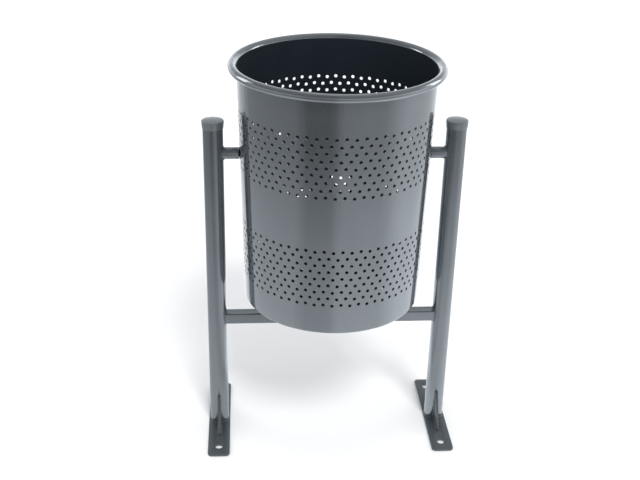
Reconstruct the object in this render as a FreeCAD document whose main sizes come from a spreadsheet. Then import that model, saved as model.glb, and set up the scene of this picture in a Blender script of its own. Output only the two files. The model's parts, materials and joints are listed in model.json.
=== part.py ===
import FreeCAD, Part
import os
import Sketcher

# Tipping litter bin: a round, slightly tapered sheet-steel basket hung between two tubular
# posts on a pair of pivot bolts.
# Frame: millimetres, +Z up, X along the line of the two posts, Y from front to back.
# The origin is on the ground, midway between the posts.

doc = FreeCAD.newDocument("litter_bin")
sheet = doc.addObject("Spreadsheet::Sheet", "Sizes")

DRIVING_SIZES = [
    # stand
    ("post_spacing", 500.0),
    ("post_diameter", 42.4),
    ("post_wall", 2.5),
    ("post_top", 731.0),
    ("cap_diameter", 46.0),
    ("cap_skirt", 14.0),
    ("cap_thickness", 2.5),
    ("cap_dome", 1.5),
    ("cap_edge_radius", 2.0),
    ("cap_lip", 0.6),
    ("slip_gap", 0.1),
    ("bar_width", 25.0),
    ("bar_wall", 2.0),
    ("bar_corner_radius", 3.0),
    ("bar_height", 275.0),
    ("plate_width", 48.0),
    ("plate_length", 280.0),
    ("plate_thickness", 5.0),
    ("plate_corner_radius", 9.0),
    ("anchor_spacing", 220.0),
    ("anchor_hole_diameter", 16.0),
    ("gusset_length", 48.0),
    ("gusset_height", 75.0),
    ("gusset_nose", 4.0),
    ("gusset_thickness", 5.0),
    # basket
    ("basket_bottom", 338.0),
    ("rim_height", 848.0),
    ("mouth_radius", 201.2),
    ("foot_radius", 188.4),
    ("sheet_thickness", 2.0),
    ("bottom_bend_radius", 8.0),
    ("bottom_lip_width", 14.0),
    ("rim_tube_diameter", 17.2),
    ("rim_tube_wall", 2.0),
    ("floor_radius", 180.0),
    ("floor_thickness", 2.0),
    ("drain_diameter", 12.0),
    ("drain_circle_radius", 110.0),
    ("drain_count", 6.0),
    # pivots: every "reach" is a distance from the basket's axis, along X
    ("pivot_height", 662.0),
    ("stub_diameter", 25.0),
    ("stub_wall", 3.0),
    ("stub_reach", 199.0),
    ("insert_length", 25.0),
    ("shoulder_diameter", 12.0),
    ("thread_diameter", 10.0),
    ("thread_length", 18.0),
    ("head_across_flats", 18.0),
    ("head_height", 8.0),
    ("running_gap", 0.05),
    ("washer_diameter", 28.0),
    ("washer_thickness", 2.0),
    ("washer_reach", 189.2),
    ("bush_diameter", 16.0),
    ("bush_inner_reach", 189.6),
    ("flange_diameter", 25.0),
    ("flange_reach", 196.95),
    ("flange_thickness", 1.7),
    ("pivot_plate_thickness", 4.0),
    ("pivot_plate_height", 70.0),
    ("pivot_plate_angle", 22.0),
]
for row, (alias, size) in enumerate(DRIVING_SIZES, start=1):
    sheet.set(f"A{row}", alias)
    sheet.set(f"B{row}", str(size))
    sheet.setAlias(f"B{row}", alias)
doc.recompute()

SIDES = [("left", -1), ("right", 1)]
X_AXIS = FreeCAD.Vector(1, 0, 0)
Y_AXIS = FreeCAD.Vector(0, 1, 0)
Z_AXIS = FreeCAD.Vector(0, 0, 1)
SAME_LENGTH = 0.01
SAME_DIRECTION = 1e-6
subparts = []


def formula(text):
    """Turn '$name' words into references to the sheet's cells."""
    return text.replace("$", "Sizes.")


def bind(thing, prop, text):
    """Set a property from a formula."""
    thing.setExpression(prop, formula(text))


def place(thing, x="0", y="0", z="0", turn=0, about=Z_AXIS):
    """Turn a piece about one of its own axes, then move it to a bound position."""
    thing.Placement = FreeCAD.Placement(FreeCAD.Vector(), FreeCAD.Rotation(about, turn))
    for axis, text in (("x", x), ("y", y), ("z", z)):
        bind(thing, f"Placement.Base.{axis}", text)


def finished(thing, label):
    """Give a subcomponent its name and list it for export."""
    thing.Label = label
    subparts.append(thing)
    return thing


# ---------------------------------------------------------------- sketches and features

def new_body(name):
    return doc.addObject("PartDesign::Body", name)


def new_sketch(body, plane):
    sketch = body.newObject("Sketcher::SketchObject", body.Name + "_sketch")
    origin_plane = next(item for item in body.Origin.OriginFeatures if item.Role == plane)
    sketch.AttachmentSupport = [(origin_plane, "")]
    sketch.MapMode = "FlatFace"
    return sketch


def pin(sketch, geometry, point, across, up):
    """Fix a point of a sketch at bound distances from the sketch's origin."""
    for direction, text, axis in (("X", across, -2), ("Y", up, -1)):
        if text == "0":
            sketch.addConstraint(Sketcher.Constraint("PointOnObject", geometry, point, axis))
            continue
        rule = Sketcher.Constraint("Distance" + direction, -1, 1, geometry, point, 1.0)
        index = sketch.addConstraint(rule)
        bind(sketch, f"Constraints[{index}]", text)


def draw_outline(sketch, corners):
    """A closed outline of straight lines whose corners are pairs of formulas."""
    count = len(corners)
    guess = [FreeCAD.Vector(10 + 5 * index, 10 + 5 * (index % 2), 0) for index in range(count)]
    for index in range(count):
        line = Part.LineSegment(guess[index], guess[(index + 1) % count])
        sketch.addGeometry(line, False)
    for index in range(count):
        joined = Sketcher.Constraint("Coincident", index, 2, (index + 1) % count, 1)
        sketch.addConstraint(joined)
    for index, (across, up) in enumerate(corners):
        pin(sketch, index, 1, across, up)


def draw_circle(sketch, across, up, diameter):
    """A circle whose centre and diameter are formulas."""
    circle = Part.Circle(FreeCAD.Vector(20, 20, 0), Z_AXIS, 5)
    index = sketch.addGeometry(circle, False)
    pin(sketch, index, 3, across, up)
    rule = sketch.addConstraint(Sketcher.Constraint("Diameter", index, 10.0))
    bind(sketch, f"Constraints[{rule}]", diameter)


def rectangle(width, height):
    """Corners of a rectangle that starts at the sketch's origin."""
    return [("0", "0"), (width, "0"), (width, height), ("0", height)]


def wall_outline(inside, outside, length):
    """Corners of the half section of a straight tube or ring."""
    return [(inside, "0"), (outside, "0"), (outside, length), (inside, length)]


def turned(name, corners, angle="360"):
    """A turned piece: corners are (radius, height) about the body's own Z axis."""
    body = new_body(name)
    sketch = new_sketch(body, "XZ_Plane")
    draw_outline(sketch, corners)
    revolution = body.newObject("PartDesign::Revolution", name + "_turned")
    revolution.Profile = sketch
    revolution.ReferenceAxis = (sketch, ["V_Axis"])
    bind(revolution, "Angle", angle)
    sketch.Visibility = False
    doc.recompute()
    return body


def padded(name, plane, corners, length):
    """A flat piece: a straight-sided outline on one origin plane, padded to a length."""
    body = new_body(name)
    sketch = new_sketch(body, plane)
    draw_outline(sketch, corners)
    pad = body.newObject("PartDesign::Pad", name + "_pad")
    pad.Profile = sketch
    bind(pad, "Length", length)
    sketch.Visibility = False
    doc.recompute()
    return body


def pocket_through(body, circles):
    """Drill round holes up through a body that stands on its own XY plane."""
    before = body.Shape.Volume
    sketch = new_sketch(body, "XY_Plane")
    for across, up, diameter in circles:
        draw_circle(sketch, across, up, diameter)
    pocket = body.newObject("PartDesign::Pocket", body.Name + "_holes")
    pocket.Profile = sketch
    pocket.Type = "ThroughAll"
    pocket.Reversed = True
    sketch.Visibility = False
    doc.recompute()
    if body.Shape.Volume >= before:
        raise RuntimeError(body.Name + ": the holes cut nothing")
    return pocket


def rounded(body, chosen, radius):
    """Round every edge of the body that the test picks."""
    base = body.Tip
    names = [f"Edge{n}" for n, edge in enumerate(base.Shape.Edges, start=1) if chosen(edge)]
    fillet = body.newObject("PartDesign::Fillet", base.Name + "_rounded")
    fillet.Base = (base, names)
    bind(fillet, "Radius", radius)
    doc.recompute()
    return fillet


def cylinder(name, diameter, length):
    rod = doc.addObject("Part::Cylinder", name)
    bind(rod, "Radius", f"({diameter}) / 2")
    bind(rod, "Height", length)
    return rod


def cut(name, base, tool):
    result = doc.addObject("Part::Cut", name)
    result.Base = base
    result.Tool = tool
    doc.recompute()
    return result


def runs_along(edge, axis):
    """True for a straight edge parallel to the axis."""
    ends = [vertex.Point for vertex in edge.Vertexes]
    if len(ends) != 2 or edge.Curve.TypeId != "Part::GeomLine":
        return False
    direction = ends[1].sub(ends[0])
    return direction.cross(axis).Length < SAME_DIRECTION * direction.Length


def ring_at(edge, radius, height):
    """True for a full circle of the given radius at the given height."""
    if edge.Curve.TypeId != "Part::GeomCircle":
        return False
    centre = edge.Curve.Center
    same_radius = abs(edge.Curve.Radius - radius) < SAME_LENGTH
    return same_radius and abs(centre.z - height) < SAME_LENGTH


# ---------------------------------------------------------------- stand

def make_post(side, sign):
    """Vertical round tube that stands on its base plate."""
    inside = "$post_diameter / 2 - $post_wall"
    outside = "$post_diameter / 2"
    height = "$post_top - $plate_thickness"
    post = turned(f"{side}_post_tube", wall_outline(inside, outside, height))
    place(post, x=f"{sign} * $post_spacing / 2", z="$plate_thickness")
    finished(post, f"{side}_post")


def make_post_cap(side, sign):
    """Push-on cap: a slightly domed top and a skirt that narrows towards its lower edge."""
    bore = "$post_diameter / 2 + $slip_gap"
    edge = "$cap_diameter / 2"
    corners = [
        (bore, "0"),
        (f"{bore} + $cap_lip", "0"),
        (edge, "$cap_skirt"),
        (edge, "$cap_skirt + $cap_thickness"),
        ("0", "$cap_skirt + $cap_thickness + $cap_dome"),
        ("0", "$cap_skirt"),
        (bore, "$cap_skirt"),
    ]
    cap = turned(f"{side}_cap_shell", corners)
    top_radius = float(sheet.cap_diameter) / 2
    top_height = float(sheet.cap_skirt + sheet.cap_thickness)
    rounded(cap, lambda edge: ring_at(edge, top_radius, top_height), "$cap_edge_radius")
    place(cap, x=f"{sign} * $post_spacing / 2", z="$post_top - $cap_skirt")
    finished(cap, f"{side}_post_cap")


def post_envelope(name, side, sign):
    """The space inside a post's outer face, which the coped ends are cut back to."""
    envelope = cylinder(f"{side}_{name}_cope", "$post_diameter", "$post_top")
    place(envelope, x=f"{sign} * $post_spacing / 2")
    return envelope


def make_crossbar():
    """Square tube between the posts, with both ends coped round the posts."""
    length = "($post_spacing - $post_diameter / 2)"
    front = "-$bar_width / 2"
    bottom = "$bar_height - $bar_width / 2"
    bar = padded("crossbar_bar", "YZ_Plane", rectangle("$bar_width", "$bar_width"), length)
    rounded(bar, lambda edge: runs_along(edge, X_AXIS), "$bar_corner_radius")
    place(bar, x=f"-{length} / 2", y=front, z=bottom)
    hollow = doc.addObject("Part::Box", "crossbar_hollow")
    bind(hollow, "Length", "$post_spacing")
    bind(hollow, "Width", "$bar_width - 2 * $bar_wall")
    bind(hollow, "Height", "$bar_width - 2 * $bar_wall")
    place(hollow, x="-$post_spacing / 2", y=f"{front} + $bar_wall", z=f"{bottom} + $bar_wall")
    tube = cut("crossbar_tube", bar, hollow)
    for side, sign in SIDES:
        tube = cut(f"crossbar_coped_{side}", tube, post_envelope("bar", side, sign))
    finished(tube, "crossbar")


def make_base_plate(side, sign):
    """Flat bar under the post, front to back, with an anchor hole near each end."""
    outline = rectangle("$plate_width", "$plate_length")
    plate = padded(f"{side}_plate_bar", "XY_Plane", outline, "$plate_thickness")
    rounded(plate, lambda edge: runs_along(edge, Z_AXIS), "$plate_corner_radius")
    middle = "$plate_width / 2"
    ends = ("($plate_length - $anchor_spacing) / 2", "($plate_length + $anchor_spacing) / 2")
    pocket_through(plate, [(middle, end, "$anchor_hole_diameter") for end in ends])
    place(plate, x=f"{sign} * $post_spacing / 2 - $plate_width / 2", y="-$plate_length / 2")
    finished(plate, f"{side}_base_plate")


def make_gusset(side, sign, end, turn):
    """Upright triangular rib between the post and its base plate."""
    corners = [
        ("0", "0"),
        ("$gusset_length", "0"),
        ("$gusset_length", "$gusset_nose"),
        ("$gusset_nose", "$gusset_height"),
        ("0", "$gusset_height"),
    ]
    rib = padded(f"{side}_{end}_rib", "YZ_Plane", corners, "$gusset_thickness")
    away = 1 if turn == 0 else -1
    post_x = f"{sign} * $post_spacing / 2"
    start_x = f"{post_x} - {away} * $gusset_thickness / 2"
    place(rib, x=start_x, y=f"{away} * $post_diameter / 2", z="$plate_thickness", turn=turn)
    finished(rib, f"{side}_{end}_gusset")


# ---------------------------------------------------------------- pivots

def on_pivot(piece, sign, reach):
    """Lay a turned piece along X, its own Z axis pointing away from the basket's axis."""
    place(piece, x=f"{sign} * ({reach})", z="$pivot_height", turn=sign * 90, about=Y_AXIS)


def make_pivot_stub(side, sign):
    """Tube welded to the post's inner face, with its end coped round the post."""
    outside = "$stub_diameter / 2"
    inside = "$stub_diameter / 2 - $stub_wall"
    length = "$post_spacing / 2 - $stub_reach"
    tube = turned(f"{side}_stub_tube", wall_outline(inside, outside, length))
    on_pivot(tube, sign, "$stub_reach")
    coped = cut(f"{side}_stub_coped", tube, post_envelope("stub", side, sign))
    finished(coped, f"{side}_pivot_stub")


def make_pivot_insert(side, sign):
    """Threaded plug fixed in the end of the stub; the pivot bolt screws into it."""
    inside = "$thread_diameter / 2 + $running_gap"
    outside = "$stub_diameter / 2 - $stub_wall"
    length = "$insert_length"
    plug = turned(f"{side}_insert_plug", wall_outline(inside, outside, length))
    on_pivot(plug, sign, "$stub_reach")
    finished(plug, f"{side}_pivot_insert")


def make_pivot_bolt(side, sign):
    """Shoulder bolt put in from inside the basket: hexagon head, plain shoulder, thread."""
    head = doc.addObject("Part::Prism", f"{side}_bolt_head")
    head.Polygon = 6
    bind(head, "Circumradius", "$head_across_flats / sqrt(3)")
    bind(head, "Height", "$head_height")
    head_reach = "$washer_reach - $washer_thickness"
    on_pivot(head, sign, f"{head_reach} - $head_height")
    shoulder_length = f"$stub_reach - ({head_reach})"
    shoulder = cylinder(f"{side}_bolt_shoulder", "$shoulder_diameter", shoulder_length)
    on_pivot(shoulder, sign, head_reach)
    thread = cylinder(f"{side}_bolt_thread", "$thread_diameter", "$thread_length")
    on_pivot(thread, sign, "$stub_reach")
    bolt = doc.addObject("Part::MultiFuse", f"{side}_bolt")
    bolt.Shapes = [head, shoulder, thread]
    doc.recompute()
    finished(bolt, f"{side}_pivot_bolt")


def make_head_washer(side, sign):
    """Steel washer under the bolt's head."""
    inside = "$shoulder_diameter / 2 + $running_gap"
    outside = "$washer_diameter / 2"
    height = "$washer_thickness"
    ring = turned(f"{side}_washer_ring", wall_outline(inside, outside, height))
    on_pivot(ring, sign, "$washer_reach - $washer_thickness")
    finished(ring, f"{side}_head_washer")


def make_pivot_bush(side, sign):
    """Flanged plastic bush in the basket's wall; its flange keeps the wall off the stub."""
    inside = "$shoulder_diameter / 2 + $running_gap"
    outside = "$bush_diameter / 2"
    flange = "$flange_diameter / 2"
    neck = "$flange_reach - $bush_inner_reach"
    full = f"{neck} + $flange_thickness"
    corners = [
        (inside, "0"),
        (outside, "0"),
        (outside, neck),
        (flange, neck),
        (flange, full),
        (inside, full),
    ]
    bush = turned(f"{side}_bush_body", corners)
    on_pivot(bush, sign, "$bush_inner_reach")
    finished(bush, f"{side}_pivot_bush")


def wall_radius(height):
    """Outer radius of the basket's wall at a height above the basket's bottom."""
    slope = "($mouth_radius - $foot_radius) / ($rim_height - $basket_bottom)"
    return f"($foot_radius + {slope} * ({height}))"


def bush_hole(name, start, length):
    """Drill for the bush's seat, along X from a start to a length."""
    drill = cylinder(name, "$bush_diameter + 2 * $running_gap", length)
    place(drill, x=start, z="$pivot_height", turn=90, about=Y_AXIS)
    return drill


def make_pivot_plate(side, sign):
    """Curved plate that stiffens the inside of the wall round the pivot."""
    low = "$pivot_height - $basket_bottom - $pivot_plate_height / 2"
    high = "$pivot_height - $basket_bottom + $pivot_plate_height / 2"
    back_low = f"{wall_radius(low)} - $sheet_thickness"
    back_high = f"{wall_radius(high)} - $sheet_thickness"
    corners = [
        (f"{back_low} - $pivot_plate_thickness", low),
        (back_low, low),
        (back_high, high),
        (f"{back_high} - $pivot_plate_thickness", high),
    ]
    plate = turned(f"{side}_plate_curved", corners, angle="$pivot_plate_angle")
    middle = 0 if sign > 0 else 180
    place(plate, z="$basket_bottom", turn=middle)
    half_turn = float(sheet.pivot_plate_angle) / 2
    facing = FreeCAD.Rotation(Z_AXIS, middle - half_turn)
    plate.Placement = FreeCAD.Placement(plate.Placement.Base, facing)
    doc.recompute()
    start = "0" if sign > 0 else "-$post_spacing / 2"
    drill = bush_hole(f"{side}_plate_drill", start, "$post_spacing / 2")
    finished(cut(f"{side}_plate_drilled", plate, drill), f"{side}_pivot_plate")


# ---------------------------------------------------------------- basket

def make_basket_shell():
    """Tapered wall with its bottom edge bent inwards, drilled for the two pivot bushes."""
    height = "$rim_height - $basket_bottom"
    lip = "$foot_radius - $bottom_lip_width"
    inner_foot = f"{wall_radius('$sheet_thickness')} - $sheet_thickness"
    corners = [
        (lip, "0"),
        ("$foot_radius", "0"),
        ("$mouth_radius", height),
        ("$mouth_radius - $sheet_thickness", height),
        (inner_foot, "$sheet_thickness"),
        (lip, "$sheet_thickness"),
    ]
    wall = turned("basket_wall", corners)
    foot = float(sheet.foot_radius)
    rounded(wall, lambda edge: ring_at(edge, foot, 0.0), "$bottom_bend_radius")
    thickness = float(sheet.sheet_thickness)
    beyond_lip = foot - float(sheet.bottom_bend_radius)

    def inner_corner(edge):
        if edge.Curve.TypeId != "Part::GeomCircle":
            return False
        on_lip = abs(edge.Curve.Center.z - thickness) < SAME_LENGTH
        return on_lip and edge.Curve.Radius > beyond_lip

    rounded(wall, inner_corner, "$bottom_bend_radius - $sheet_thickness")
    place(wall, z="$basket_bottom")
    drill = bush_hole("basket_wall_drill", "-$post_spacing / 2", "$post_spacing")
    finished(cut("basket_wall_drilled", wall, drill), "basket_shell")


def make_basket_rim():
    """Round tube rolled into a ring and welded outside the wall's top edge."""
    tori = []
    outside = "$rim_tube_diameter / 2"
    for name, radius in (("outer", outside), ("hollow", f"{outside} - $rim_tube_wall")):
        torus = doc.addObject("Part::Torus", f"rim_{name}")
        bind(torus, "Radius1", f"$mouth_radius + {outside}")
        bind(torus, "Radius2", radius)
        place(torus, z="$rim_height")
        tori.append(torus)
    finished(cut("rim_tube", *tori), "basket_rim")


def make_basket_floor():
    """Round floor that lies on the wall's bent-in edge, with drain holes."""
    disc = turned("floor_disc", rectangle("$floor_radius", "$floor_thickness"))
    pocket_through(disc, [("0", "0", "$drain_diameter")])
    first_drain = pocket_through(disc, [("$drain_circle_radius", "0", "$drain_diameter")])
    before = disc.Shape.Volume
    pattern = disc.newObject("PartDesign::PolarPattern", "drain_circle")
    pattern.Originals = [first_drain]
    pattern.Axis = (first_drain.Profile[0], ["N_Axis"])
    bind(pattern, "Occurrences", "$drain_count")
    disc.Tip = pattern
    doc.recompute()
    if disc.Shape.Volume >= before:
        raise RuntimeError("the drain holes were not repeated")
    place(disc, z="$basket_bottom + $sheet_thickness")
    finished(disc, "basket_floor")


for side, sign in SIDES:
    make_post(side, sign)
    make_post_cap(side, sign)
    make_base_plate(side, sign)
    make_gusset(side, sign, "front", 180)
    make_gusset(side, sign, "rear", 0)
    make_pivot_stub(side, sign)
    make_pivot_insert(side, sign)
    make_pivot_bolt(side, sign)
    make_head_washer(side, sign)
    make_pivot_bush(side, sign)
    make_pivot_plate(side, sign)
make_crossbar()
make_basket_shell()
make_basket_rim()
make_basket_floor()

# ---------------------------------------------------------------- checks and export

doc.recompute()
for thing in doc.Objects:
    if "Invalid" in thing.State or "Error" in thing.State:
        raise RuntimeError(f"{thing.Name} failed to build: {thing.State}")
for piece in subparts:
    if piece.Shape.isNull() or not piece.Shape.isValid():
        raise RuntimeError(f"{piece.Label} has no valid shape")

os.makedirs("parts", exist_ok=True)
for piece in subparts:
    piece.Shape.exportStep(os.path.join("parts", piece.Label + ".step"))
    box = piece.Shape.BoundBox
    extent = f"{box.XLength:.1f} x {box.YLength:.1f} x {box.ZLength:.1f} mm"
    print(f"{piece.Label}: {len(piece.Shape.Solids)} solid, {extent}, {piece.Shape.Volume:.0f} mm3")
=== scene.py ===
# %% [markdown]
# # A tipping litter bin
# A round basket of perforated steel sheet hangs between two tube posts on a pair of pivots.
# The engineering model is already made, so this lesson only dresses it: every piece below is
# placed from the model's own boxes, and nothing in the model is moved.

# %% Load the model
import json
import math

import bmesh
import bpy
from mathutils import Matrix, Vector


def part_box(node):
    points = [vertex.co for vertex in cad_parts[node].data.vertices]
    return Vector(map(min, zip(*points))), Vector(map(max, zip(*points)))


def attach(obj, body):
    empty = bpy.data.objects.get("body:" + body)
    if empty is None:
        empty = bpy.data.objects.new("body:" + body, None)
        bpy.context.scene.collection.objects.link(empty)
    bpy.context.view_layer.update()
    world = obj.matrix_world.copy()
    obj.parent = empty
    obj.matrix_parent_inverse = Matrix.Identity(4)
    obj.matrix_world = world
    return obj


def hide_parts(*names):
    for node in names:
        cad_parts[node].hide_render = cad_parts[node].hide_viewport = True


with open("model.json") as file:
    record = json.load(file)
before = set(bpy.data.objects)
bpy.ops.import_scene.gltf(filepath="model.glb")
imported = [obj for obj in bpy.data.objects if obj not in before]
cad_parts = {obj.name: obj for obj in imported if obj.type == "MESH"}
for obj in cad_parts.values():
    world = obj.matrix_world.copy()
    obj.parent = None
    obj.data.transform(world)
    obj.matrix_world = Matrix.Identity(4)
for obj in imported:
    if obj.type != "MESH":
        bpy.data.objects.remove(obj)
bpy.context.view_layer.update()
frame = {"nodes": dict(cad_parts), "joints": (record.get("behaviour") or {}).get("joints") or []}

MM = 0.001
SIDES = {"left": -1, "right": 1}

# %% [markdown]
# ## The stage
# A product picture needs a pale floor that runs to white. The same floor would be a blank white
# sheet in the paint's reflections, so glossy rays see it glow near the bin and fade outwards, with
# the brightness of the wall that stands in each direction. The colours are meant to be read as
# they are, so the view transform is the plain one, with no film curve. First come the small
# helpers that every later cell uses.

# %% Helpers


def linear(code):
    """An sRGB hex colour as linear RGBA."""
    channels = [int(code[place:place + 2], 16) / 255 for place in (1, 3, 5)]
    curve = [c / 12.92 if c <= 0.04045 else ((c + 0.055) / 1.055) ** 2.4 for c in channels]
    return (*curve, 1.0)


def add(tree, kind, inputs=None, **settings):
    """Add a node: settings are its properties, inputs are values or sockets to link from.

    It returns the node's first output in use, or the node itself when it has none."""
    node = tree.nodes.new(kind)
    for name, value in settings.items():
        setattr(node, name, value)
    for key, value in (inputs or {}).items():
        by_name = [one for one in node.inputs if one.enabled and one.name == key]
        socket = by_name[0] if by_name else node.inputs[key]
        if isinstance(value, bpy.types.NodeSocket):
            tree.links.new(value, socket)
        else:
            socket.default_value = value
    in_use = [one for one in node.outputs if one.enabled]
    return in_use[0] if in_use else node


def keep(name, mesh, *materials):
    """Link a mesh to the scene as an object with its materials."""
    piece = bpy.data.objects.new(name, mesh)
    bpy.context.scene.collection.objects.link(piece)
    for material in materials:
        mesh.materials.append(material)
    return piece


def new_material(name):
    """An empty node material and its output node."""
    material = bpy.data.materials.new(name)
    material.use_nodes = True
    material.node_tree.nodes.clear()
    output = add(material.node_tree, "ShaderNodeOutputMaterial")
    return material, material.node_tree, output


scene = bpy.context.scene
scene.view_settings.view_transform = "Standard"
print("view transform:", scene.view_settings.view_transform)

# %% [markdown]
# ## The room in the reflections
# The bearing of a place on the floor, or of a ray that leaves the scene, picks a brightness from a
# colour ramp. The stops stand for the walls of a studio. A glow near the bin is added on top, as a
# white floor is brightest where the light falls.

# %% The reflected room
# bearing in degrees from the front, to the right, and how bright the room is there
ROOM_LEVELS = [
    (-180, 1.3),   # white wall behind
    (-120, 0.35),  # grey wall on the left
    (-50, 0.25),
    (-35, 0.1),    # black flag in front
    (-10, 0.1),
    (5, 0.3),      # grey screen beside it
    (50, 0.35),
    (80, 0.7),     # pale wall on the right
    (120, 0.75),
    (180, 1.3),    # white wall behind again
]
NEAR_GLOW = 0.5
GLOW_FULL = 0.45
GLOW_GONE = 1.9
ROOM_TINT = "#f6f9fc"


def reflected_room(tree, place):
    """Brightness of the studio as the paint reflects it, by bearing and distance on the floor."""
    flat = add(tree, "ShaderNodeSeparateXYZ", {"Vector": place}).node.outputs
    bearing = add(tree, "ShaderNodeMath", {0: flat["Y"], 1: -1.0}, operation="MULTIPLY")
    bearing = add(tree, "ShaderNodeMath", {0: flat["X"], 1: bearing}, operation="ARCTAN2")
    share = add(tree, "ShaderNodeMapRange", {
        "Value": bearing, "From Min": -math.pi, "From Max": math.pi})
    ramp = add(tree, "ShaderNodeValToRGB", {"Fac": share})
    stops = ramp.node.color_ramp.elements
    for degrees, level in ROOM_LEVELS[1:-1]:
        stops.new(degrees / 360 + 0.5).color = (level, level, level, 1)
    for stop, (degrees, level) in zip((stops[0], stops[-1]), (ROOM_LEVELS[0], ROOM_LEVELS[-1])):
        stop.color = (level, level, level, 1)
    away = add(tree, "ShaderNodeVectorMath", {0: place}, operation="LENGTH")
    away = away.node.outputs["Value"]
    near = add(tree, "ShaderNodeMapRange", {
        "Value": away, "From Min": GLOW_FULL, "From Max": GLOW_GONE, "To Min": NEAR_GLOW, "To Max": 0.0})
    return add(tree, "ShaderNodeMath", {0: ramp, 1: near}, operation="ADD")


print("room levels:", len(ROOM_LEVELS), "stops")

# %% [markdown]
# ## The floor
# Matt white card, lit by the lamps and with a hardly visible mottle, so that the bin's soft shadow
# shows on it. A Mix Shader gives reflections the room's brightness in place of the card.

# %% Floor
FLOOR_RADIUS = 9.0
MOTTLES_PER_METRE = 1.5

floor_paint, tree, output = new_material("matt white studio floor")
place = add(tree, "ShaderNodeTexCoord").node.outputs["Object"]
spread = add(tree, "ShaderNodeTexNoise", {"Vector": place, "Scale": MOTTLES_PER_METRE, "Detail": 2.0})
tone = add(tree, "ShaderNodeMix", {
    "Factor": spread, "A": linear("#f4f4f4"), "B": linear("#f8f8f8")}, data_type="RGBA")
paper = add(tree, "ShaderNodeBsdfDiffuse", {"Color": tone})
glow = add(tree, "ShaderNodeEmission", {
    "Color": linear(ROOM_TINT), "Strength": reflected_room(tree, place)})
glossy = add(tree, "ShaderNodeLightPath").node.outputs["Is Glossy Ray"]
surface = add(tree, "ShaderNodeMixShader", {0: glossy, 1: paper, 2: glow})
tree.links.new(surface, output.inputs["Surface"])

floor_mesh = bpy.data.meshes.new("floor")
shape = bmesh.new()
bmesh.ops.create_circle(shape, cap_ends=True, segments=96, radius=FLOOR_RADIUS)
shape.to_mesh(floor_mesh)
shape.free()
floor = keep("floor", floor_mesh, floor_paint)
print("floor radius", FLOOR_RADIUS, "m")

# %% [markdown]
# ## Light
# Semi-gloss paint shows the room it stands in, so the room needs light and dark walls, while the
# picture needs a plain white ground. A Light Path node keeps the two apart: the camera sees a
# white backdrop, and reflections see a room that is bright behind, pale on the right and dark in
# front. The round basket then gets a dark band near its middle and pale sides.

# %% World
SKY_LEVEL = 0.86
BACKDROP_LEVEL = 1.0
CEILING_LEVEL = 0.35
CEILING_FROM, CEILING_FULL = 0.1, 0.4  # upward part of a ray's direction

world = bpy.data.worlds.new("studio")
scene.world = world
world.use_nodes = True
tree = world.node_tree
tree.nodes.clear()
rays = add(tree, "ShaderNodeLightPath").node.outputs
direction = add(tree, "ShaderNodeTexCoord").node.outputs["Generated"]
upward = add(tree, "ShaderNodeSeparateXYZ", {"Vector": direction}).node.outputs["Z"]
fade = add(tree, "ShaderNodeMapRange", {
    "Value": upward, "From Min": CEILING_FROM, "From Max": CEILING_FULL, "To Min": 1.0,
    "To Max": CEILING_LEVEL})
level = add(tree, "ShaderNodeMath", {0: reflected_room(tree, direction), 1: fade}, operation="MULTIPLY")
room = add(tree, "ShaderNodeBackground", {"Color": linear(ROOM_TINT), "Strength": level})
sky = add(tree, "ShaderNodeBackground", {"Color": linear("#fafcff"), "Strength": SKY_LEVEL})
backdrop = add(tree, "ShaderNodeBackground", {"Color": linear("#fdfdfd"), "Strength": BACKDROP_LEVEL})
either = add(tree, "ShaderNodeMixShader", {0: rays["Is Glossy Ray"], 1: sky, 2: room})
either = add(tree, "ShaderNodeMixShader", {0: rays["Is Camera Ray"], 1: either, 2: backdrop})
add(tree, "ShaderNodeOutputWorld", {"Surface": either})
print("world:", world.name)

# %% [markdown]
# ## Lamps
# A broad key light from the front and above makes the soft shadow. It is left out of reflections,
# so that the rim has no hot spot. Two tall windows behind the bin light the edges of the posts.

# %% Lamps
BIN_MIDDLE = (0, 0, 0.5)
KEY_FROM = Vector((0.3, -1.0, 1.3))
KEY_POWER = 1.5
KEY_SPREAD = math.radians(16)
WINDOW_WIDTH, WINDOW_HEIGHT, WINDOW_POWER = 0.8, 1.6, 8


def softbox(name, position, target, width, height, power):
    """A rectangular area lamp that faces a point."""
    lamp = bpy.data.lights.new(name, "AREA")
    lamp.shape = "RECTANGLE"
    lamp.size = width
    lamp.size_y = height
    lamp.energy = power
    holder = bpy.data.objects.new(name, lamp)
    holder.location = position
    holder.rotation_euler = (Vector(target) - Vector(position)).to_track_quat("-Z", "Y").to_euler()
    scene.collection.objects.link(holder)


key = bpy.data.lights.new("key light", "SUN")
key.energy = KEY_POWER
key.angle = KEY_SPREAD
key_holder = bpy.data.objects.new("key light", key)
key_holder.location = KEY_FROM
key_holder.rotation_euler = KEY_FROM.to_track_quat("Z", "Y").to_euler()
key_holder.visible_glossy = False
scene.collection.objects.link(key_holder)
softbox("right window", (2.4, 1.0, 1.6), BIN_MIDDLE, WINDOW_WIDTH, WINDOW_HEIGHT, WINDOW_POWER)
softbox("left window", (-2.4, 1.2, 1.6), BIN_MIDDLE, WINDOW_WIDTH, WINDOW_HEIGHT, WINDOW_POWER)

# %% [markdown]
# ## Camera
# The bin is seen from standing height, a little to the left, looking down at about 26 degrees.

# %% Camera
CAMERA_PLACE = (-0.180, -2.002, 1.448)
CAMERA_TURN = math.radians(4.38)
CAMERA_DIP = math.radians(26.17)
CAMERA_ROLL = math.radians(1.38)
SENSOR_WIDTH_MM = 36.0
LENS_MM = 58.6

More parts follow.
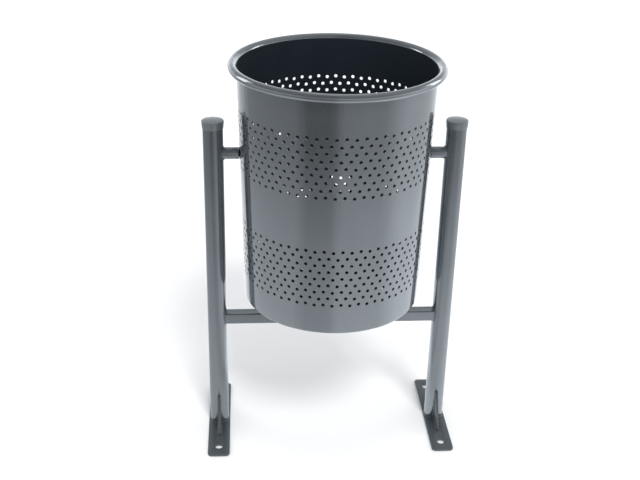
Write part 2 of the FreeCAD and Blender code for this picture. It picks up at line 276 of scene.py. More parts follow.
lens = bpy.data.cameras.new("camera")
lens.sensor_width = SENSOR_WIDTH_MM
lens.lens = LENS_MM
camera = bpy.data.objects.new("camera", lens)
scene.collection.objects.link(camera)
aim = Matrix.Rotation(-CAMERA_TURN, 4, "Z") @ Matrix.Rotation(math.pi / 2 - CAMERA_DIP, 4, "X")
camera.matrix_world = Matrix.Translation(CAMERA_PLACE) @ aim @ Matrix.Rotation(CAMERA_ROLL, 4, "Z")
scene.camera = camera
print("camera at", CAMERA_PLACE, "with a", lens.lens, "mm lens")

# %% [markdown]
# ## Paint
# The sheet and the tubes are powder coated in a metallic grey. Powder melts into a film with a
# faint orange peel over metal flakes, so the paint is part metal, part clear film. The flakes are
# finer than a picture can show, and are drawn about one millimetre wide. Sheet rolled into a
# basket also keeps narrow upright flats, which draw its reflections out into soft streaks: a bump
# stretched along the height gives them, and only the basket's paint has it.

# %% Powder coat
ORANGE_PEEL = 1.6 * MM
FLAKE = 1.0 * MM
CLOUD = 90 * MM
FLAT_WIDTH = 26 * MM
FLAT_LENGTH = 900 * MM
PEEL_DEPTH = 0.02 * MM
FLAKE_CONTRAST = 0.06
GLOSS_SPREAD = 0.03
FILM_ROUGHNESS = 0.08


def powder_coat(name, dark, light, metallic, roughness, coat, shine=0.5, flats=0.0):
    """Metallic powder coat on steel: cloudy tone, small flakes and a faint orange peel."""
    material, tree, output = new_material(name)
    place = add(tree, "ShaderNodeTexCoord").node.outputs["Object"]
    cloud = add(tree, "ShaderNodeTexNoise", {"Vector": place, "Scale": 1 / CLOUD, "Detail": 3.0})
    flakes = add(tree, "ShaderNodeTexVoronoi", {"Vector": place, "Scale": 1 / FLAKE})
    grey = add(tree, "ShaderNodeRGBToBW", {"Color": flakes.node.outputs["Color"]})
    mixed = add(tree, "ShaderNodeMapRange", {
        "Value": grey, "To Min": -FLAKE_CONTRAST, "To Max": FLAKE_CONTRAST})
    level = add(tree, "ShaderNodeMath", {0: cloud, 1: mixed}, operation="ADD")
    tone = add(tree, "ShaderNodeMix", {
        "Factor": level, "A": linear(dark), "B": linear(light)}, data_type="RGBA")
    gloss = add(tree, "ShaderNodeMapRange", {
        "Value": cloud, "From Min": 0.3, "From Max": 0.7,
        "To Min": roughness - GLOSS_SPREAD, "To Max": roughness + GLOSS_SPREAD})
    peel = add(tree, "ShaderNodeTexNoise", {"Vector": place, "Scale": 1 / ORANGE_PEEL, "Detail": 1.0})
    bump = add(tree, "ShaderNodeBump", {"Height": peel, "Strength": 0.1, "Distance": PEEL_DEPTH})
    if flats:
        upright = add(tree, "ShaderNodeMapping", {
            "Vector": place, "Scale": (1 / FLAT_WIDTH, 1 / FLAT_WIDTH, 1 / FLAT_LENGTH)})
        rolled = add(tree, "ShaderNodeTexNoise", {"Vector": upright, "Scale": 1.0, "Detail": 1.5})
        bump = add(tree, "ShaderNodeBump", {"Height": rolled, "Distance": flats, "Normal": bump})
    surface = add(tree, "ShaderNodeBsdfPrincipled", {
        "Base Color": tone, "Metallic": metallic, "Roughness": gloss, "Normal": bump, "Coat Weight": coat,
        "Coat Roughness": FILM_ROUGHNESS, "Specular IOR Level": shine})
    tree.links.new(surface, output.inputs["Surface"])
    print("paint:", name)
    return material


# name, dark and light tone, metallic, roughness, clear film, shine
basket_paint = powder_coat(
    "grey metallic powder coat on sheet", "#979da2", "#9fa5aa", 0.9, 0.09, 0.2, flats=0.6 * MM)
frame_paint = powder_coat("grey metallic powder coat on tube", "#868c91", "#92989d", 0.85, 0.16, 0.1)
# painted shade: the base plates and ribs are a darker, duller copy of the tube paint, standing in for the
# shade round the feet of the posts
plate_shade_paint = powder_coat("grey metallic powder coat on plate", "#5c6266", "#6a7074", 0.6, 0.35, 0.0)
cap_paint = powder_coat("satin grey powder coat on caps", "#81878b", "#8d9397", 0.7, 0.3, 0.0)
weld_paint = powder_coat("grey metallic powder coat on weld", "#7a8085", "#868c91", 0.8, 0.28, 0.1)
# painted shade: the inside of the basket, its floor and its pivot plates are painted near black with almost
# no shine, standing in for the shade inside the basket
inside_shade_paint = powder_coat(
    "dark matt powder coat inside the basket", "#1c2329", "#262e35", 0.0, 0.6, 0.0, shine=0.1)

# %% [markdown]
# ## Bare metal and nylon
# The pivot bolts, washers and threaded plugs are zinc plated: bright, slightly blue, with a soft
# mottle from the plating bath. The bushes are black moulded nylon, which is dull and even.

# %% Zinc and nylon
MOTTLE = 2 * MM
MOULD_GRAIN = 0.5 * MM
MOULD_GRAIN_DEPTH = 0.05 * MM


def zinc_plate():
    """Zinc plating on steel, with its cloudy crystal mottle."""
    material, tree, output = new_material("bright zinc plating on steel")
    place = add(tree, "ShaderNodeTexCoord").node.outputs["Object"]
    mottle = add(tree, "ShaderNodeTexVoronoi", {"Vector": place, "Scale": 1 / MOTTLE})
    level = add(tree, "ShaderNodeRGBToBW", {"Color": mottle.node.outputs["Color"]})
    tone = add(tree, "ShaderNodeMix", {
        "Factor": level, "A": linear("#b4b8ba"), "B": linear("#c8cbcc")}, data_type="RGBA")
    gloss = add(tree, "ShaderNodeMapRange", {"Value": level, "To Min": 0.28, "To Max": 0.4})
    surface = add(tree, "ShaderNodeBsdfPrincipled", {
        "Base Color": tone, "Metallic": 1.0, "Roughness": gloss})
    tree.links.new(surface, output.inputs["Surface"])
    return material


def moulded_nylon():
    """Black nylon from a spark-eroded mould, with the mould's fine grain."""
    material, tree, output = new_material("black moulded nylon")
    place = add(tree, "ShaderNodeTexCoord").node.outputs["Object"]
    grain = add(tree, "ShaderNodeTexNoise", {"Vector": place, "Scale": 1 / MOULD_GRAIN, "Detail": 2.0})
    tone = add(tree, "ShaderNodeMix", {
        "Factor": grain, "A": linear("#17181a"), "B": linear("#232527")}, data_type="RGBA")
    bump = add(tree, "ShaderNodeBump", {"Height": grain, "Strength": 0.2, "Distance": MOULD_GRAIN_DEPTH})
    surface = add(tree, "ShaderNodeBsdfPrincipled", {"Base Color": tone, "Roughness": 0.5, "Normal": bump})
    tree.links.new(surface, output.inputs["Surface"])
    return material


zinc = zinc_plate()
nylon = moulded_nylon()
print("also made:", zinc.name, "and", nylon.name)

# %% [markdown]
# ## Turned shapes
# Posts, caps and the rim are all turned shapes: one outline carried round an axis. A small
# function builds them ring by ring, which gives even, clean quads that shade smoothly.

# %% Turn an outline
ON_AXIS = 1e-9


def arc(centre_r, centre_z, radius, start, end, steps):
    """Points of a circular arc in the outline plane, angles in degrees from outward."""
    points = []
    for step in range(steps + 1):
        angle = math.radians(start + (end - start) * step / steps)
        points.append((centre_r + radius * math.cos(angle), centre_z + radius * math.sin(angle)))
    return points


def turn(outline, segments, closed=True):
    """A mesh shape turned about Z from (radius, height) points."""
    shape = bmesh.new()
    rings = []
    for radius, height in outline:
        if radius < ON_AXIS:
            rings.append([shape.verts.new((0, 0, height))] * segments)
            continue
        ring = []
        for step in range(segments):
            angle = 2 * math.pi * step / segments
            point = (radius * math.cos(angle), radius * math.sin(angle), height)
            ring.append(shape.verts.new(point))
        rings.append(ring)
    pairs = list(zip(rings, rings[1:] + rings[:1])) if closed else list(zip(rings, rings[1:]))
    for lower, upper in pairs:
        for step in range(segments):
            after = (step + 1) % segments
            corners = [lower[step], lower[after], upper[after], upper[step]]
            corners = list(dict.fromkeys(corners))
            if len(corners) > 2:
                shape.faces.new(corners)
    return shape


def finish_mesh(name, shape, sharp=40):
    """Store a mesh shape with smooth shading that breaks at sharp edges."""
    mesh = bpy.data.meshes.new(name)
    shape.to_mesh(mesh)
    shape.free()
    mesh.shade_smooth()
    mesh.set_sharp_from_angle(angle=math.radians(sharp))
    return mesh


def turned_piece(name, outline, segments, place, body, slot, nodes, *materials):
    """A closed turned piece that stands in for model nodes."""
    shape = turn(outline, segments)
    bmesh.ops.recalc_face_normals(shape, faces=shape.faces)
    bmesh.ops.translate(shape, verts=shape.verts, vec=place)
    piece = keep(name, finish_mesh(name, shape), *materials)
    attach(piece, body)
    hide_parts(*nodes)
    print(name, "-", len(piece.data.polygons), "faces")


# %% [markdown]
# ## Posts and caps
# Each post is a plain tube. Its cap is pushed on: a low dome with a rounded edge, and a skirt that
# narrows to the tube. The outline of the cap is half a section, from the skirt's foot to the axis.

# %% Posts and caps
POST_SEGMENTS = 96
TUBE_WALL = 2.5 * MM
CAP_TOP = 2.5 * MM
CAP_DOME = 1.5 * MM
CAP_EDGE = 2.2 * MM
SKIRT_LIP = 0.6 * MM
SKIRT_TAPER = 0.9  # share of the skirt over which it widens
SLIP_GAP = 0.1 * MM
DOME_STEPS = 8


def round_measure(node):
    """Middle of an upright round node in plan, its foot, its height and its radius."""
    low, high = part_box(node)
    return (low.x + high.x) / 2, (low.y + high.y) / 2, low.z, high.z - low.z, (high.y - low.y) / 2


for side in SIDES:
    x, y, foot, height, radius = round_measure(f"{side}_post")
    tube = [(radius - TUBE_WALL, 0), (radius, 0), (radius, height), (radius - TUBE_WALL, height)]
    turned_piece(f"{side}_post_tube", tube, POST_SEGMENTS, (x, y, foot), "stand", "frame_paint",
                 [f"{side}_post"], frame_paint)

    bore = radius + SLIP_GAP
    x, y, foot, height, edge = round_measure(f"{side}_post_cap")
    shoulder = height - CAP_DOME
    skirt = shoulder - CAP_TOP
    dome = []
    for step in range(1, DOME_STEPS + 1):
        share = step / DOME_STEPS
        dome.append(((edge - CAP_EDGE) * (1 - share), shoulder + CAP_DOME * (1 - (1 - share) ** 2)))
    cap = [(bore, 0), (bore + SKIRT_LIP, 0), (edge, skirt * SKIRT_TAPER)]
    cap += arc(edge - CAP_EDGE, shoulder - CAP_EDGE, CAP_EDGE, 0, 90, 6) + dome
    cap += [(0, skirt), (bore, skirt)]
    turned_piece(f"{side}_cap", cap, POST_SEGMENTS, (x, y, foot), "stand", "cap_paint",
                 [f"{side}_post_cap"], cap_paint)

# %% [markdown]
# ## Plates, ribs, crossbar and hardware
# These nodes already have the right shape, but their edges are perfectly sharp, and real sawn and
# punched steel is broken at the edge. A copy is welded, its flat faces are cleaned, and a narrow
# bevel catches the light.

# %% Soften the edges of a node
SAME_POINT = 1e-6
SAME_PLANE = math.radians(0.4)
ROUNDED_FROM = math.radians(35)
SHARP_FROM = math.radians(32)


def evaluated(source):
    """The mesh of an object after its modifiers."""
    return bpy.data.meshes.new_from_object(source.evaluated_get(bpy.context.evaluated_depsgraph_get()))


def softened(node, bevel, body, material):
    """A copy of a model node with its sharp edges rounded over."""
    shape = bmesh.new()
    shape.from_mesh(frame["nodes"][node].data)
    bmesh.ops.remove_doubles(shape, verts=shape.verts, dist=SAME_POINT)
    bmesh.ops.dissolve_limit(shape, angle_limit=SAME_PLANE, verts=shape.verts, edges=shape.edges)
    raw = bpy.data.meshes.new(node + "_raw")
    shape.to_mesh(raw)
    shape.free()
    source = bpy.data.objects.new(node + "_raw", raw)
    scene.collection.objects.link(source)
    rounding = source.modifiers.new("rounded edges", "BEVEL")
    rounding.width = bevel
    rounding.segments = 3
    rounding.limit_method = "ANGLE"
    rounding.angle_limit = ROUNDED_FROM
    solid = evaluated(source)
    bpy.data.objects.remove(source)
    solid.materials.clear()
    solid.shade_smooth()
    solid.set_sharp_from_angle(angle=SHARP_FROM)
    piece = keep(node + "_finished", solid, material)
    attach(piece, body)
    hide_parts(node)
    print(piece.name, "-", len(solid.polygons), "faces")


for side in SIDES:
    # base plates and ribs take the plate paint, darkened as painted shade
    softened(f"{side}_base_plate", 0.8 * MM, "stand", plate_shade_paint)
    softened(f"{side}_front_gusset", 0.5 * MM, "stand", plate_shade_paint)
    softened(f"{side}_rear_gusset", 0.5 * MM, "stand", plate_shade_paint)
    softened(f"{side}_pivot_stub", 0.4 * MM, "stand", frame_paint)
    softened(f"{side}_pivot_insert", 0.3 * MM, "stand", zinc)
    softened(f"{side}_pivot_bolt", 0.5 * MM, "stand", zinc)
    softened(f"{side}_head_washer", 0.3 * MM, "stand", zinc)
    softened(f"{side}_pivot_bush", 0.3 * MM, "basket", nylon)
    # the pivot plates inside the basket take the dark painted shade
    softened(f"{side}_pivot_plate", 0.6 * MM, "basket", inside_shade_paint)
softened("crossbar", 0.3 * MM, "stand", frame_paint)
# the basket's floor takes the dark painted shade of the inside
softened("basket_floor", 0.4 * MM, "basket", inside_shade_paint)

# %% [markdown]
# ## The basket's measures
# The wall is a slightly tapered cylinder, so its radius follows a straight line from foot to
# mouth. The heights of both ends and the mouth's radius come from the model's boxes, the foot's
# radius is given, and the holes are spaced from the same numbers.

# %% Measure the basket
SHEET = 2.0 * MM
RIM_TUBE_RADIUS = (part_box("basket_rim")[1].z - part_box("basket_rim")[0].z) / 2
shell_low, shell_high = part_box("basket_shell")
BASKET_FOOT = shell_low.z
MOUTH_HEIGHT = shell_high.z
MOUTH_RADIUS = shell_high.y
FOOT_RADIUS = 188.4 * MM
SLOPE = (MOUTH_RADIUS - FOOT_RADIUS) / (MOUTH_HEIGHT - BASKET_FOOT)
PIVOT_HEIGHT = frame["joints"][0]["pos_m"][2]


def wall_radius(height):
    """Outer radius of the wall at a height in the frame."""
    return FOOT_RADIUS + SLOPE * (height - BASKET_FOOT)


print("basket: foot radius", FOOT_RADIUS, "mouth radius", round(MOUTH_RADIUS, 4))
print("pivot height", PIVOT_HEIGHT)

# %% [markdown]
# ## One tile of perforated sheet
# Punched holes repeat, so one tile is enough: a square of sheet with a round hole. Sixteen points
# round the hole face sixteen points on the tile's border, four to a side, so that a row shifted by
# half a tile still meets its neighbours point to point. Tiles by the pivots have no hole.

# %% Make the tiles
HOLES_AROUND = 66
ROWS = 9
ROW_PITCH = 15.0 * MM
HOLE_DIAMETER = 7.0 * MM
RING = 16


def border(step):
    """Where point number step of the ring meets the border of a unit tile."""
    def side_of(count):
        count = count % RING
        away = min(count, RING - count)
        return max(-1.0, min(1.0, 2 - away / 2)) / 2
    return side_of(step), side_of(step - RING // 4)


def make_tile(name, hole_width, hole_height):
    """A unit tile; a hole size of zero gives a blank tile with a point in its middle."""
    shape = bmesh.new()
    mark = shape.verts.layers.float.new("hole_edge")
    outer = [shape.verts.new((*border(step), 0)) for step in range(RING)]
    if hole_width == 0:
        middle = shape.verts.new((0, 0, 0))
        for step in range(RING):
            shape.faces.new((middle, outer[step], outer[(step + 1) % RING]))
    else:
        inner = []
        for step in range(RING):
            angle = 2 * math.pi * step / RING
            place = (hole_width / 2 * math.cos(angle), hole_height / 2 * math.sin(angle), 0)
            point = shape.verts.new(place)
            point[mark] = 1.0
            inner.append(point)
        for step in range(RING):
            after = (step + 1) % RING
            shape.faces.new((inner[step], outer[step], outer[after], inner[after]))
    mesh = bpy.data.meshes.new(name)
    shape.to_mesh(mesh)
    shape.free()
    print(name, "-", len(mesh.polygons), "faces")
    return keep(name, mesh)


# %% [markdown]
# ## A band of holes, in Geometry Nodes
# The tree lays tiles on a flat grid, shifts every second row by half a tile, and then rolls the
# flat band into the tapered wall. The punch works in pairs, so pairs of holes sit alternately a
# little high and a little low; the tree moves only the points marked as a hole's edge.

# %% Build the band tree
BAND_INPUTS = [
    ("Tile", "NodeSocketObject"), ("Blank tile", "NodeSocketObject"), ("Holes around", "NodeSocketInt"),
    ("Rows", "NodeSocketInt"), ("Row pitch", "NodeSocketFloat"), ("Lowest row", "NodeSocketFloat"),
    ("First hole angle", "NodeSocketFloat"), ("Foot height", "NodeSocketFloat"),
    ("Foot radius", "NodeSocketFloat"), ("Slope", "NodeSocketFloat"), ("Pair shift", "NodeSocketFloat"),
    ("Pivot height", "NodeSocketFloat"), ("Blank distance", "NodeSocketFloat"),
    ("Material", "NodeSocketMaterial"),
]


MERGE_GAP = 0.02 * MM


def new_tree(name, inputs):
    """An empty geometry tree with named inputs, and its group nodes."""
    tree = bpy.data.node_groups.new(name, "GeometryNodeTree")
    tree.interface.new_socket("Geometry", in_out="INPUT", socket_type="NodeSocketGeometry")
    for label, kind in inputs:
        tree.interface.new_socket(label, in_out="INPUT", socket_type=kind)
    tree.interface.new_socket("Geometry", in_out="OUTPUT", socket_type="NodeSocketGeometry")
    return tree, tree.nodes.new("NodeGroupInput").outputs


def band_tree():
    """The tree that lays tiles on a grid and rolls them into the wall."""
    tree, given = new_tree("perforated band", BAND_INPUTS)

    def sums(operation, first, second=0.0, third=0.0):
        return add(tree, "ShaderNodeMath", {0: first, 1: second, 2: third}, operation=operation)

    # which column and row each tile belongs to
    number = add(tree, "GeometryNodeInputIndex")
    row = sums("FLOOR", sums("DIVIDE", number, given["Holes around"]))
    column = sums("SUBTRACT", number, sums("MULTIPLY", row, given["Holes around"]))
    across = sums("MULTIPLY_ADD", sums("MODULO", row, 2.0), 0.5, column)
    points = add(tree, "GeometryNodePoints", {
        "Count": sums("MULTIPLY", given["Holes around"], given["Rows"]),
        "Position": add(tree, "ShaderNodeCombineXYZ", {"X": across, "Y": row})})

    # a tile stays blank when its middle is close to a pivot, which lies at y = 0 on either side
    pitch = sums("DIVIDE", 2 * math.pi, given["Holes around"])
    angle = sums("MULTIPLY_ADD", across, pitch, given["First hole angle"])
    beside = sums("MULTIPLY", sums("SINE", angle), given["Foot radius"])
    height = sums("MULTIPLY_ADD", row, given["Row pitch"], given["Lowest row"])
    above = sums("SUBTRACT", height, given["Pivot height"])
    distance = sums("SQRT", sums("ADD", sums("MULTIPLY", beside, beside), sums("MULTIPLY", above, above)))
    near = add(tree, "FunctionNodeCompare", {
        "A": distance, "B": given["Blank distance"]}, operation="LESS_THAN")
    far = add(tree, "FunctionNodeBooleanMath", {0: near}, operation="NOT")
    laid = add(tree, "GeometryNodeJoinGeometry")
    for choice, label in ((far, "Tile"), (near, "Blank tile")):
        shape = add(tree, "GeometryNodeObjectInfo", {"Object": given[label]}).node.outputs["Geometry"]
        tiles = add(tree, "GeometryNodeInstanceOnPoints", {
            "Points": points, "Selection": choice, "Instance": shape})
        tree.links.new(tiles, laid.node.inputs[0])
    real = add(tree, "GeometryNodeRealizeInstances", {"Geometry": laid})

    # the points of a hole's edge move up or down with their tile's pair
    position = add(tree, "GeometryNodeInputPosition")
    flat = add(tree, "ShaderNodeSeparateXYZ", {"Vector": position}).node.outputs
    own_row = sums("ROUND", flat["Y"])
    own_column = sums("ROUND", sums("MULTIPLY_ADD", sums("MODULO", own_row, 2.0), -0.5, flat["X"]))
    up_or_down = sums("MULTIPLY_ADD", sums("FLOORED_MODULO", own_column, 2.0), -2.0, 1.0)
    share = add(tree, "GeometryNodeInputNamedAttribute", {"Name": "hole_edge"}, data_type="FLOAT")
    shift = sums("MULTIPLY", sums("MULTIPLY", up_or_down, share), given["Pair shift"])

    # roll the flat band into the tapered wall
    turned_by = sums("MULTIPLY_ADD", flat["X"], pitch, given["First hole angle"])
    level = sums("MULTIPLY_ADD", flat["Y"], given["Row pitch"], given["Lowest row"])
    above_foot = sums("SUBTRACT", level, given["Foot height"])
    radius = sums("MULTIPLY_ADD", above_foot, given["Slope"], given["Foot radius"])
    rolled = add(tree, "ShaderNodeCombineXYZ", {
        "X": sums("MULTIPLY", radius, sums("COSINE", turned_by)),
        "Y": sums("MULTIPLY", radius, sums("SINE", turned_by)),
        "Z": sums("ADD", level, shift)})
    wall = add(tree, "GeometryNodeSetPosition", {"Geometry": real, "Position": rolled})
    welded = add(tree, "GeometryNodeMergeByDistance", {"Geometry": wall, "Distance": MERGE_GAP})
    whole = add(tree, "GeometryNodeRealizeInstances", {"Geometry": welded})
    painted = add(tree, "GeometryNodeSetMaterial", {"Geometry": whole, "Material": given["Material"]})
    add(tree, "NodeGroupOutput", {"Geometry": painted})
    return tree


def run_tree(tree, values, mesh=None):
    """Run a geometry tree on an object and return the result as a plain mesh."""
    carrier = keep(tree.name + " carrier", mesh or bpy.data.meshes.new("empty"))
    modifier = carrier.modifiers.new(tree.name, "NODES")
    modifier.node_group = tree
    for item in tree.interface.items_tree:
        if item.in_out == "INPUT" and item.name in values:
            modifier[item.identifier] = values[item.name]
    made = evaluated(carrier)
    carrier.modifiers.remove(modifier)
    bpy.data.objects.remove(carrier)
    return made


perforated_band = band_tree()
print("tree:", perforated_band.name, "with", len(perforated_band.nodes), "nodes")

# %% [markdown]
# ## Two bands of holes
# The upper band runs past the pivots and the lower one ends well above the foot. Each band has its
# own tile, because the wall is narrower lower down and the holes must stay round.

# %% Roll the bands
UPPER_LOWEST_ROW = MOUTH_HEIGHT - 203.9 * MM
LOWER_LOWEST_ROW = MOUTH_HEIGHT - 441.0 * MM
FIRST_HOLE_ANGLE = math.radians(-88.75)
PAIR_SHIFT = 1.0 * MM
BLANK_DISTANCE = 19 * MM

bands = []
for name, lowest in (("upper", UPPER_LOWEST_ROW), ("lower", LOWER_LOWEST_ROW)):
    middle = lowest + ROW_PITCH * (ROWS - 1) / 2
    tile_width = 2 * math.pi * wall_radius(middle) / HOLES_AROUND
    tile = make_tile(name + " tile", HOLE_DIAMETER / tile_width, HOLE_DIAMETER / ROW_PITCH)
    blank = make_tile(name + " blank tile", 0, 0)
    band = run_tree(perforated_band, {
        "Tile": tile, "Blank tile": blank, "Holes around": HOLES_AROUND, "Rows": ROWS,
        "Row pitch": ROW_PITCH, "Lowest row": lowest, "First hole angle": FIRST_HOLE_ANGLE,
        "Foot height": BASKET_FOOT,
        "Foot radius": FOOT_RADIUS, "Slope": SLOPE, "Pair shift": PAIR_SHIFT, "Pivot height": PIVOT_HEIGHT,
        "Blank distance": BLANK_DISTANCE, "Material": basket_paint})
    bands.append(band)
    bpy.data.objects.remove(tile)
    bpy.data.objects.remove(blank)
    print(name, "band:", len(band.polygons), "faces, hole pitch", round(tile_width / MM, 2), "mm")

# %% [markdown]
# ## The wall
# Plain stretches fill in above, between and below the bands, and the foot is bent inwards in a
# quarter circle and ends in a short lip. Everything is one skin at first. Solidify then gives it
# the sheet's thickness, and the inner side gets the dark painted shade of the basket's inside.

# %% Build the wall
WALL_SEGMENTS = HOLES_AROUND * 4
BEND = 8 * MM
LIP = 14 * MM
BEND_STEPS = 8
JOIN_GAP = 0.05 * MM


def stretch(low, high, steps):
    """Outline points of the plain wall between two heights."""
    heights = [low + (high - low) * step / steps for step in range(steps + 1)]
    return [(wall_radius(height), height) for height in heights]


half_row = ROW_PITCH / 2
band_height = ROW_PITCH * ROWS
lower_start = LOWER_LOWEST_ROW - half_row
upper_start = UPPER_LOWEST_ROW - half_row
bend_centre = wall_radius(BASKET_FOOT) - BEND
bend = arc(bend_centre, BASKET_FOOT + BEND, BEND, -90, 0, BEND_STEPS)
foot_outline = [(FOOT_RADIUS - LIP, BASKET_FOOT)] + bend
outlines = [
    foot_outline + stretch(BASKET_FOOT + BEND, lower_start, 5)[1:],
    stretch(lower_start + band_height, upper_start, 5),
    stretch(upper_start + band_height, MOUTH_HEIGHT, 4),
]
to_first_hole = Matrix.Rotation(FIRST_HOLE_ANGLE, 3, "Z")
skin = bmesh.new()
for outline in outlines:
    part = turn(outline, WALL_SEGMENTS, closed=False)
    bmesh.ops.rotate(part, verts=part.verts, cent=(0, 0, 0), matrix=to_first_hole)
    plain = bpy.data.meshes.new("plain stretch")
    part.to_mesh(plain)
    part.free()
    skin.from_mesh(plain)
for band in bands:
    skin.from_mesh(band)
bmesh.ops.remove_doubles(skin, verts=skin.verts, dist=JOIN_GAP)
bmesh.ops.recalc_face_normals(skin, faces=skin.faces)
outward = sum(face.normal.dot(face.calc_center_median() * Vector((1, 1, 0))) for face in skin.faces)
if outward < 0:
    bmesh.ops.reverse_faces(skin, faces=skin.faces)
for face in skin.faces:
    face.material_index = 0
skin_mesh = bpy.data.meshes.new("basket skin")
skin.to_mesh(skin_mesh)
skin.free()

sheet = keep("basket skin", skin_mesh, basket_paint, inside_shade_paint)
thickness = sheet.modifiers.new("sheet thickness", "SOLIDIFY")
thickness.thickness = SHEET
thickness.offset = -1.0
thickness.use_even_offset = True
# the inner faces take the dark painted shade of the basket's inside
thickness.material_offset = 1
thickness.material_offset_rim = 0
print("skin:", len(skin_mesh.polygons), "faces")

# %% [markdown]
# ## Pivot holes
# A cylinder laid across the whole basket cuts the two seats of the pivot bushes, in the blank
# patches that the tree left for them.

# %% Drill the wall
SEAT_RADIUS = 8.05 * MM
DRILL_LENGTH = 0.5
DRILL_SEGMENTS = 48
SHEET_SHARP_FROM = math.radians(35)

drill_shape = bmesh.new()
along_x = Matrix.Translation((0, 0, PIVOT_HEIGHT)) @ Matrix.Rotation(math.pi / 2, 4, "Y")
bmesh.ops.create_cone(
    drill_shape, cap_ends=True, segments=DRILL_SEGMENTS, radius1=SEAT_RADIUS, radius2=SEAT_RADIUS,
    depth=DRILL_LENGTH, matrix=along_x)
drill_mesh = bpy.data.meshes.new("drill")
drill_shape.to_mesh(drill_mesh)
drill_shape.free()
drill = keep("drill", drill_mesh)
drilling = sheet.modifiers.new("pivot seats", "BOOLEAN")
drilling.operation = "DIFFERENCE"
drilling.solver = "EXACT"
drilling.object = drill

wall_mesh = evaluated(sheet)
bpy.data.objects.remove(sheet)
bpy.data.objects.remove(drill)
wall_mesh.shade_smooth()
wall_mesh.set_sharp_from_angle(angle=SHEET_SHARP_FROM)
wall = keep("basket_wall", wall_mesh)
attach(wall, "basket")
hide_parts("basket_shell")
print("wall:", len(wall_mesh.polygons), "faces")

# %% [markdown]
# ## The rim
# A round tube rolled into a ring stiffens the mouth. It is the part that hands and bags touch, and
# its even curve carries the longest highlight on the bin. The outline is an arc that stops where
# the tube meets the wall, and three points that fill the seam between them.

# %% Turn the rim
RIM_SEGMENTS = 288
RIM_STEPS = 28
SEAM_END = 130  # degrees round the tube's section, from outward
SEAM_EDGE = 1.2 * MM
SEAM_TOP = 3.2 * MM
rim_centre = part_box("basket_rim")[1].y - RIM_TUBE_RADIUS
rim_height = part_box("basket_rim")[0].z + RIM_TUBE_RADIUS
filled_seam = [
    (MOUTH_RADIUS - SHEET / 2, MOUTH_HEIGHT + SEAM_TOP),
    (MOUTH_RADIUS - SHEET, MOUTH_HEIGHT + SEAM_EDGE),
    (MOUTH_RADIUS - SHEET, MOUTH_HEIGHT),
]
rim_outline = arc(rim_centre, rim_height, RIM_TUBE_RADIUS, -180, SEAM_END, RIM_STEPS) + filled_seam
turned_piece("basket_rim_tube", rim_outline, RIM_SEGMENTS, (0, 0, 0), "basket", "basket_paint",
             ["basket_rim"], basket_paint)

# %% [markdown]
# ## Weld beads, in Geometry Nodes
# A weld is laid down in small steps, so the bead is a rope with a ripple every few millimetres.
# The tree sweeps a small circle along a seam drawn as a chain of points, and varies its radius.

# %% Build the weld tree
WELD_INPUTS = [
    ("Bead radius", "NodeSocketFloat"), ("Ripple length", "NodeSocketFloat"),
    ("Ripple depth", "NodeSocketFloat"), ("Step", "NodeSocketFloat"), ("Wander", "NodeSocketFloat"),
    ("Seed", "NodeSocketFloat"), ("Material", "NodeSocketMaterial"),
]
WANDER_LENGTH = 8 * MM
BEAD_CORNERS = 10


def weld_tree():
    """The tree that turns a chain of edges into a rippled bead."""
    tree, given = new_tree("weld bead", WELD_INPUTS)

    def sums(operation, first, second=0.0, third=0.0):
        return add(tree, "ShaderNodeMath", {0: first, 1: second, 2: third}, operation=operation)

    seam = add(tree, "GeometryNodeMeshToCurve", {"Mesh": given["Geometry"]})
    fine = add(tree, "GeometryNodeResampleCurve", {"Curve": seam, "Length": given["Step"]}, mode="LENGTH")
    along = add(tree, "GeometryNodeSplineParameter").node.outputs["Length"]
    wave = sums("SINE", sums("MULTIPLY", sums("DIVIDE", along, given["Ripple length"]), 2 * math.pi))
    noise = add(tree, "ShaderNodeTexNoise", {
        "Vector": add(tree, "GeometryNodeInputPosition"), "W": given["Seed"], "Scale": 1 / WANDER_LENGTH},
        noise_dimensions="4D")
    uneven = sums("MULTIPLY", sums("SUBTRACT", noise, 0.5), given["Wander"])
    swell = sums("ADD", sums("MULTIPLY", wave, given["Ripple depth"]), uneven)
    radius = sums("MULTIPLY_ADD", given["Bead radius"], swell, given["Bead radius"])
    section = add(tree, "GeometryNodeCurvePrimitiveCircle", {"Resolution": BEAD_CORNERS, "Radius": 1.0})
    bead = add(tree, "GeometryNodeCurveToMesh", {
        "Curve": fine, "Profile Curve": section, "Scale": radius, "Fill Caps": True})
    smooth = add(tree, "GeometryNodeSetShadeSmooth", {"Geometry": bead})
    whole = add(tree, "GeometryNodeRealizeInstances", {"Geometry": smooth})
    painted = add(tree, "GeometryNodeSetMaterial", {"Geometry": whole, "Material": given["Material"]})
    add(tree, "NodeGroupOutput", {"Geometry": painted})
    return tree


weld_bead = weld_tree()
print("tree:", weld_bead.name, "with", len(weld_bead.nodes), "nodes")

# %% [markdown]
# ## Seams
# Every seam is a chain of points worked out from the boxes, and the weld tree sweeps along it.
# A bead sits partly in the corner that it fills, so its centre is a little off each face.

# %% Seam shapes
BEAD_RADIUS = 1.5 * MM
SUNK = BEAD_RADIUS * 0.4     # height of a bead's centre above the plate
BESIDE = BEAD_RADIUS * 0.3   # distance of a bead's centre from a face
RIB_TOE = 2 * MM             # plate bead stops this far before the rib's end
RIB_HEAD = 3 * MM            # post bead stops this far below the rib's top
FOOT_STEPS = 36
STUB_STEPS = 48
BAR_STEPS = 8


def chain(shape, points, closed=False):
    """Add a chain of edges to a mesh shape."""
    spots = [shape.verts.new(point) for point in points]
    ends = list(zip(spots, spots[1:]))
    if closed:
        ends.append((spots[-1], spots[0]))
    for pair in ends:
        shape.edges.new(pair)


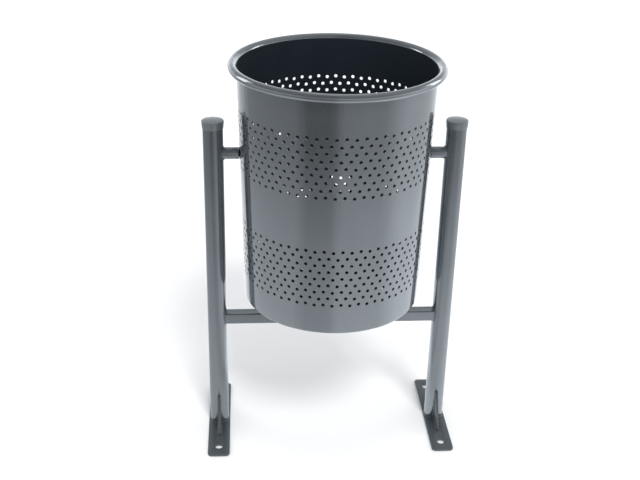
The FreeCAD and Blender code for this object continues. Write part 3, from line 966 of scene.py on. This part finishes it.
def circle_points(x, y, z, radius, start, end, count):
    """Points round a vertical axis, angles in degrees."""
    angles = [math.radians(start + (end - start) * step / count) for step in range(count + 1)]
    return [(x + radius * math.cos(angle), y + radius * math.sin(angle), z) for angle in angles]


def on_post(post_x, post_radius, toward, y, z):
    """The point on a post's face at a given y and height; toward is -1 for left, 1 for right."""
    return post_x + toward * math.sqrt(post_radius ** 2 - y ** 2), y, z


print("bead:", round(2 * BEAD_RADIUS / MM, 1), "mm wide")

# %% [markdown]
# ## Seams of one post
# A post is welded all round to its plate, a rib on both sides, and the crossbar and the pivot stub
# where they meet the round post. Where a flat cut meets a tube, the seam is a flat outline wrapped
# onto the tube, so each of its points is moved along X until it lies on the post's face.

# %% Seams of one post


def foot_seams(shape, side, post_x, post_radius, height):
    """Two half circles round the post's foot, with a gap for each rib."""
    low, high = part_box(f"{side}_rear_gusset")
    gap = math.degrees(math.asin(((high.x - low.x) / 2 + BEAD_RADIUS) / post_radius))
    for start in (-90, 90):
        chain(shape, circle_points(
            post_x, 0, height, post_radius + SUNK, start + gap, start + 180 - gap, FOOT_STEPS))


def rib_seams(shape, node, way, post_x, post_radius, height):
    """Beads along a rib's foot and up its heel; way is 1 for the rear rib, -1 for the front."""
    low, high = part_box(node)
    far = high.y if way > 0 else low.y
    for edge in (low.x - BESIDE, high.x + BESIDE):
        chain(shape, [(edge, way * post_radius, height), (edge, far - way * RIB_TOE, height)])
        face = way * math.sqrt(post_radius ** 2 - (edge - post_x) ** 2)
        chain(shape, [(edge, face, height + RIB_TOE), (edge, face, high.z - RIB_HEAD)])


def stub_seam(shape, side, post_x, post_radius, toward):
    """A circle wrapped on the post's face, where the pivot stub meets it."""
    low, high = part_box(f"{side}_pivot_stub")
    reach = (high.z - low.z) / 2 + BESIDE
    angles = [2 * math.pi * step / STUB_STEPS for step in range(STUB_STEPS)]
    chain(shape, [
        on_post(post_x, post_radius, toward, reach * math.cos(angle), PIVOT_HEIGHT + reach * math.sin(angle))
        for angle in angles], closed=True)


def bar_seam(shape, post_x, post_radius, toward):
    """A square wrapped on the post's face, where the crossbar meets it."""
    low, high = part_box("crossbar")
    corners = [(low.y, low.z), (high.y, low.z), (high.y, high.z), (low.y, high.z)]
    ring = []
    for (y0, z0), (y1, z1) in zip(corners, corners[1:] + corners[:1]):
        for step in range(BAR_STEPS):
            share = step / BAR_STEPS
            ring.append(on_post(post_x, post_radius, toward, y0 + (y1 - y0) * share, z0 + (z1 - z0) * share))
    chain(shape, ring, closed=True)


print("seams of a post: foot, two ribs, stub and crossbar")

# %% [markdown]
# ## Lay the seams
# All seams go into one mesh of bare edges, and one run of the tree makes every bead. The ripple is
# a little under three millimetres long, which is the step of a steady hand.

# %% Lay the seams
seams = bmesh.new()
for side, sign in SIDES.items():
    post_x, _, plate_top, _, post_radius = round_measure(f"{side}_post")
    bead_height = plate_top + SUNK
    foot_seams(seams, side, post_x, post_radius, bead_height)
    rib_seams(seams, f"{side}_front_gusset", -1, post_x, post_radius, bead_height)
    rib_seams(seams, f"{side}_rear_gusset", 1, post_x, post_radius, bead_height)
    stub_seam(seams, side, post_x, post_radius, -sign)
    bar_seam(seams, post_x, post_radius, -sign)
seam_mesh = bpy.data.meshes.new("stand seams")
seams.to_mesh(seam_mesh)
seams.free()
beads = run_tree(weld_bead, {
    "Bead radius": BEAD_RADIUS, "Ripple length": 2.8 * MM, "Ripple depth": 0.12,
    "Step": 0.8 * MM, "Wander": 0.35, "Seed": 3.0, "Material": weld_paint}, seam_mesh)
stand_welds = keep("stand_weld_beads", beads)
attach(stand_welds, "stand")
print("weld beads:", len(beads.polygons), "faces")
